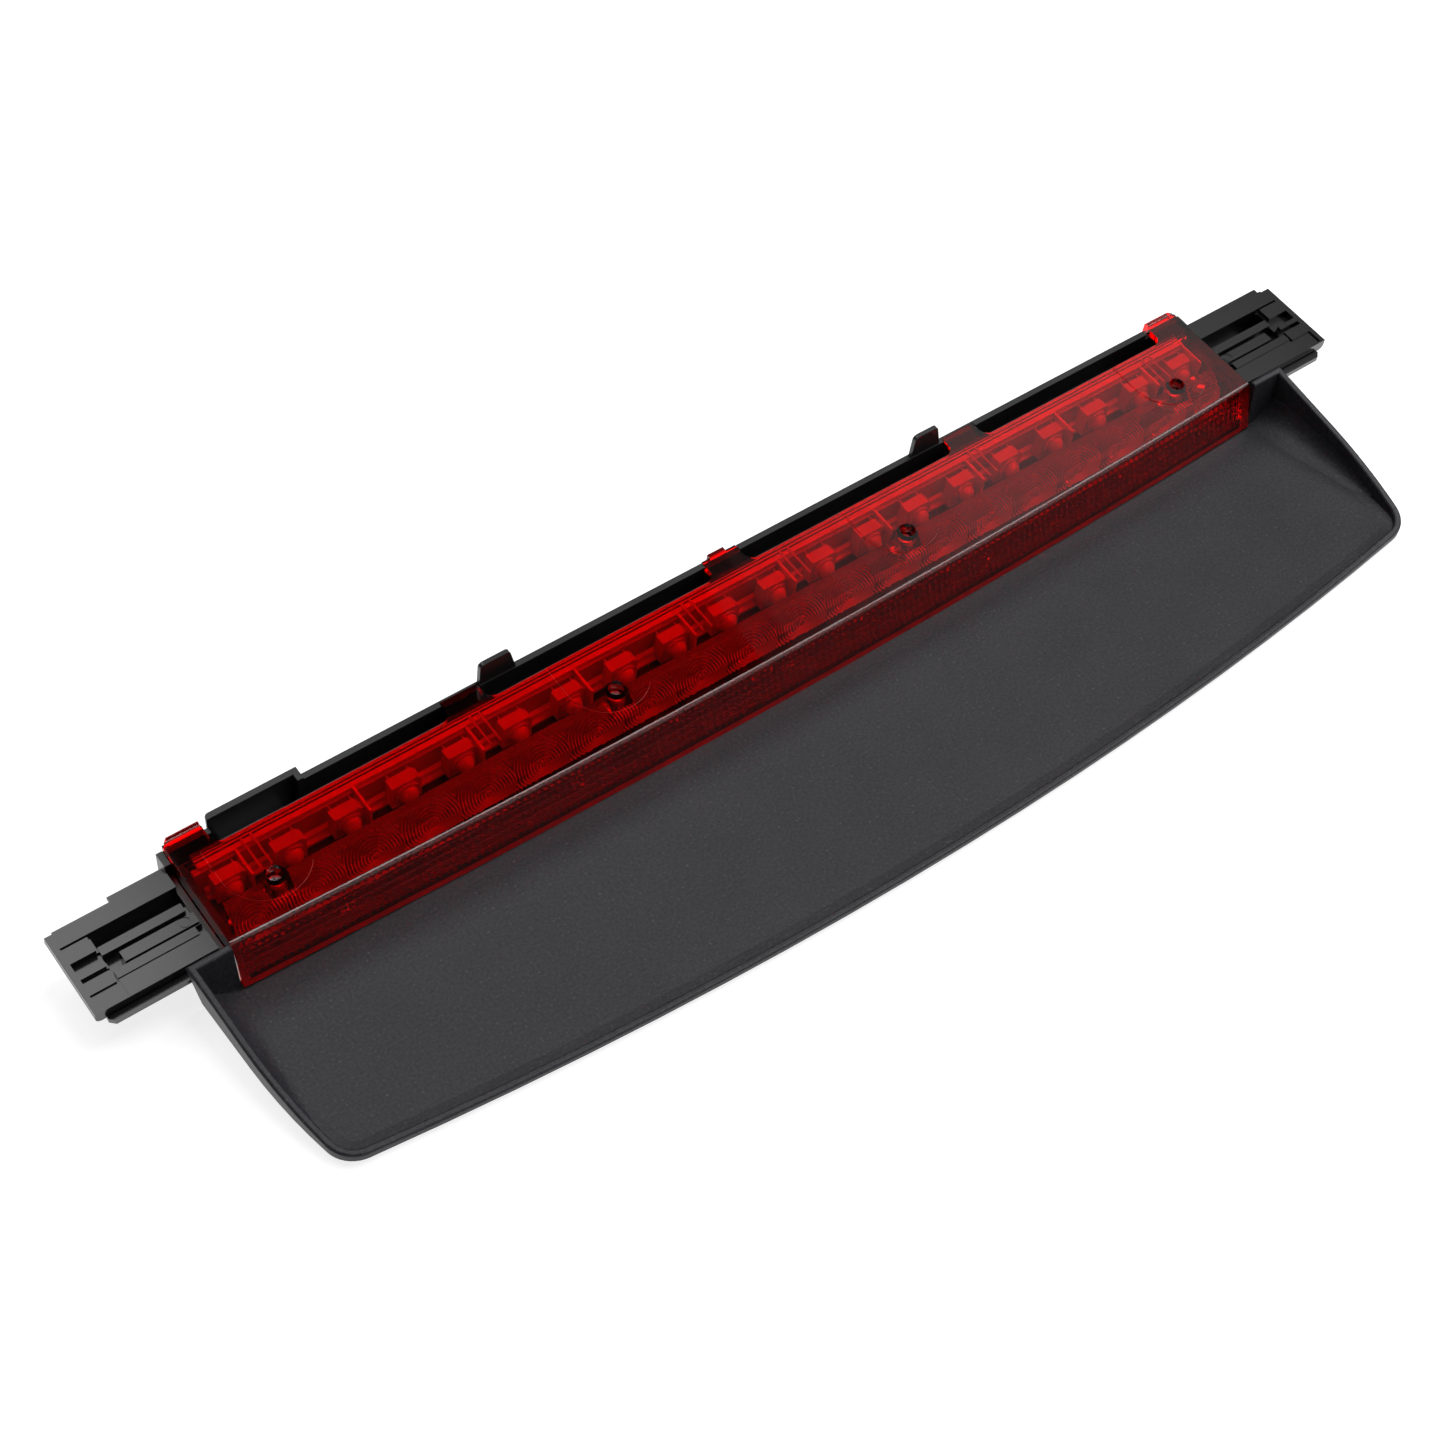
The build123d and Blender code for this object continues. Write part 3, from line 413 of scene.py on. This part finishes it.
def ring_cell():
    """Open front face of one ring lens, trimmed to its stretch of the strip."""
    mesh = bmesh.new()
    centre = mesh.verts.new((0, STRIP_FRONT - BULGE_HEIGHT, LED_Z))
    # the upper half leans back later, which stretches it to full height again
    squash = math.cos(math.radians(STRIP_LEAN))
    inner = None
    last_height = 1
    for radius, height in ring_profile():
        outer = []
        for step in range(RING_STEPS):
            turn = 2 * math.pi * step / RING_STEPS
            up = radius * math.sin(turn)
            if step < RING_STEPS / 2:
                up *= squash
            place = (radius * math.cos(turn), STRIP_FRONT - height, LED_Z + up)
            outer.append(mesh.verts.new(place))
        for step in range(RING_STEPS):
            after = (step + 1) % RING_STEPS
            if inner is None:
                mesh.faces.new((centre, outer[step], outer[after]))
            else:
                face = mesh.faces.new((inner[step], outer[step], outer[after], inner[after]))
                # material 1 on each ring's steep side is a painted highlight
                face.material_index = 1 if height > last_height else 0
        inner = outer
        last_height = height
    edges = [((-LED_PITCH / 2, 0, 0), (-1, 0, 0)), ((LED_PITCH / 2, 0, 0), (1, 0, 0)),
             ((0, 0, STRIP_Z[0]), (0, 0, -1)), ((0, 0, STRIP_Z[1]), (0, 0, 1))]
    for point, normal in edges:
        trim(mesh, point, normal)
    for vertex in mesh.verts:
        fade = min(1.0, (STRIP_Z[1] - vertex.co.z) / RING_FADE)
        vertex.co.y = STRIP_FRONT - (STRIP_FRONT - vertex.co.y) * fade
    for face in mesh.faces:
        if face.calc_center_median().z > STRIP_Z[1] - RING_FADE:
            face.material_index = 0
    data = bpy.data.meshes.new("ring_cell")
    mesh.to_mesh(data)
    mesh.free()
    return data


def cut_notch(mesh, x):
    """Takes a square notch out of the open front face, down from its upper edge."""
    faces = slice_faces(mesh, list(mesh.faces), (x - NOTCH_HALF, 0, 0), (1, 0, 0))
    faces = slice_faces(mesh, faces, (x + NOTCH_HALF, 0, 0), (1, 0, 0))
    faces = slice_faces(mesh, faces, (0, 0, NOTCH_Z), (0, 0, 1))
    gone = []
    for face in faces:
        middle = face.calc_center_median()
        if abs(middle.x - x) < NOTCH_HALF and middle.z > NOTCH_Z:
            gone.append(face)
    bmesh.ops.delete(mesh, geom=gone, context="FACES")


def open_edges(mesh):
    return [edge for edge in mesh.edges if edge.is_boundary]


def ring_front():
    """Open front face of the whole strip, with its notches."""
    cell = ring_cell()
    mesh = bmesh.new()
    for index in range(LED_COUNT):
        known = len(mesh.verts)
        mesh.from_mesh(cell)
        mesh.verts.ensure_lookup_table()
        shift = (index - (LED_COUNT - 1) / 2) * LED_PITCH
        bmesh.ops.translate(mesh, verts=mesh.verts[known:], vec=(shift, 0, 0))
    bpy.data.meshes.remove(cell)
    bmesh.ops.remove_doubles(mesh, verts=mesh.verts, dist=WELD_DISTANCE)
    trim(mesh, (STRIP_HALF, 0, 0), (1, 0, 0))
    trim(mesh, (-STRIP_HALF, 0, 0), (-1, 0, 0))
    for x in NOTCH_X:
        for side in (-1, 1):
            cut_notch(mesh, side * x)
    return mesh


def close_back(mesh):
    """Draws the open front's rim out to the strip's flat back and closes it."""
    grown = bmesh.ops.extrude_edge_only(mesh, edges=open_edges(mesh))["geom"]
    for item in grown:
        if isinstance(item, bmesh.types.BMVert):
            item.co.y = STRIP_BACK
    bmesh.ops.contextual_create(mesh, geom=open_edges(mesh))
    bmesh.ops.recalc_face_normals(mesh, faces=mesh.faces)


def ring_strip():
    mesh = ring_front()
    close_back(mesh)
    slice_faces(mesh, list(mesh.faces), (0, 0, LED_Z), (0, 0, 1))
    lean = math.tan(math.radians(STRIP_LEAN))
    for vertex in mesh.verts:
        vertex.co.y += max(0, vertex.co.z - LED_Z) * lean
    made = finish_piece(mesh, "ring_strip", "optic_clear", sharp_angle=30, extra=(RING_EDGE_HIGHLIGHT,))
    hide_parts("fresnel_strip")


bpy.context.view_layer.update()
pillow_lens()
ring_strip()

# ------------------------------------------------------------------ floor
FLOOR_HALF = 3.0
FLOOR_LEVEL = -0.0002                # just under the lamp
FLOOR_GLOW = 0.8


def paper():
    """Pale matte paper that glows faintly, so that it stays white around the lamp's shadow."""
    material, tree, shader = new_material("pale_paper")
    vector = coordinates(tree)
    fine = noise(tree, vector, 300.0, 3.0)
    colour = ramp(tree, fine, [(0.3, (0.36, 0.36, 0.36)), (0.7, (0.38, 0.38, 0.38))])
    tree.links.new(colour, shader.inputs["Base Color"])
    shader.inputs["Roughness"].default_value = 0.9
    shader.inputs["Emission Color"].default_value = (1, 1, 1, 1)
    shader.inputs["Emission Strength"].default_value = FLOOR_GLOW
    return material


floor_mesh = bpy.data.meshes.new("floor")
corners = [(x * FLOOR_HALF, y * FLOOR_HALF, 0) for x, y in ((-1, -1), (1, -1), (1, 1), (-1, 1))]
floor_mesh.from_pydata(corners, [], [(0, 1, 2, 3)])
floor = bpy.data.objects.new("floor", floor_mesh)
floor_mesh.materials.append(paper())
floor.location.z = FLOOR_LEVEL
bpy.context.scene.collection.objects.link(floor)

# ------------------------------------------------------------------ light, in metres
CEILING = 1.1                        # height of the lights that hang level above the lamp
HAZE_X = (0.53, 0.77, 1.12)          # where the haze starts, reaches its full level and ends
HAZE_Y = (0.30, 0.56)
HAZE_TILES = 8                       # boxes of rising level before the full one
HAZE_TILE = 0.03
HAZE_LEVEL = 0.7
WORLD_LEVEL = 0.02


def soft_light(name, location, target, size, radiance):
    """Rectangular soft light at location, facing target, with the given radiance."""
    data = bpy.data.lights.new(name, "AREA")
    data.shape = "RECTANGLE"
    data.size, data.size_y = size
    data.energy = math.pi * size[0] * size[1] * radiance
    light = bpy.data.objects.new(name, data)
    light.location = location
    light.rotation_euler = (Vector(target) - Vector(location)).to_track_quat("-Z", "Y").to_euler()
    bpy.context.scene.collection.objects.link(light)
    return light


def ceiling_light(name, x, y, radiance):
    """Level soft light over the rectangle between the two ends given in x and in y."""
    centre = ((x[0] + x[1]) / 2, (y[0] + y[1]) / 2, CEILING)
    size = (x[1] - x[0], y[1] - y[0])
    light = soft_light(name, centre, (centre[0], centre[1], 0), size, radiance)
    light.rotation_euler = (0, 0, 0)


# bright box that shines on the left arm's top, up to the lens's left end
ceiling_light("key", (-0.55, 0.085), (0.20, 0.66), 2.5)
# wide boxes that light the inside and stay out of the lens top's reflection
ceiling_light("above", (0.0, 1.5), (-0.5, 0.19), 5.4)
ceiling_light("behind", (-0.9, 1.2), (0.66, 1.3), 2.3)
# faint boxes side by side, mirrored in the right half of the lens's top
for step in range(HAZE_TILES):
    start = HAZE_X[0] + HAZE_TILE * step
    level = HAZE_LEVEL * (step + 1) / (HAZE_TILES + 1)
    ceiling_light("haze", (start, start + HAZE_TILE), HAZE_Y, level)
ceiling_light("haze", HAZE_X[1:], HAZE_Y, HAZE_LEVEL)
# upright box at the front right, mirrored in the lens's front edge
soft_light("front", (0.62, -0.95, 0.62), (0.05, 0, 0), (1.5, 0.8), 1.4)

world = bpy.data.worlds.new("studio")
world.use_nodes = True
world.node_tree.nodes["Background"].inputs["Color"].default_value = (1, 1, 1, 1)
world.node_tree.nodes["Background"].inputs["Strength"].default_value = WORLD_LEVEL
bpy.context.scene.world = world

# ------------------------------------------------------------------ camera
CAMERA_PLACE = (-0.25377, -0.29389, 0.43655)     # metres
CAMERA_TURN = (41.3755, -0.3309, -36.9097)       # degrees
CAMERA_SENSOR = 36.0                             # mm
CAMERA_LENS = 62.548                             # mm
camera_data = bpy.data.cameras.new("camera")
camera_data.sensor_width = CAMERA_SENSOR
camera_data.lens = CAMERA_LENS
camera = bpy.data.objects.new("camera", camera_data)
camera.location = CAMERA_PLACE
camera.rotation_euler = Euler([math.radians(angle) for angle in CAMERA_TURN], "XYZ")
bpy.context.scene.collection.objects.link(camera)
bpy.context.scene.camera = camera

bpy.context.scene.view_settings.view_transform = "Standard"
# light crosses the lens, the ring strip and the LEDs on its way in and out
bpy.context.scene.cycles.max_bounces = 24
bpy.context.scene.cycles.transmission_bounces = 20
bpy.context.scene.cycles.transparent_max_bounces = 16
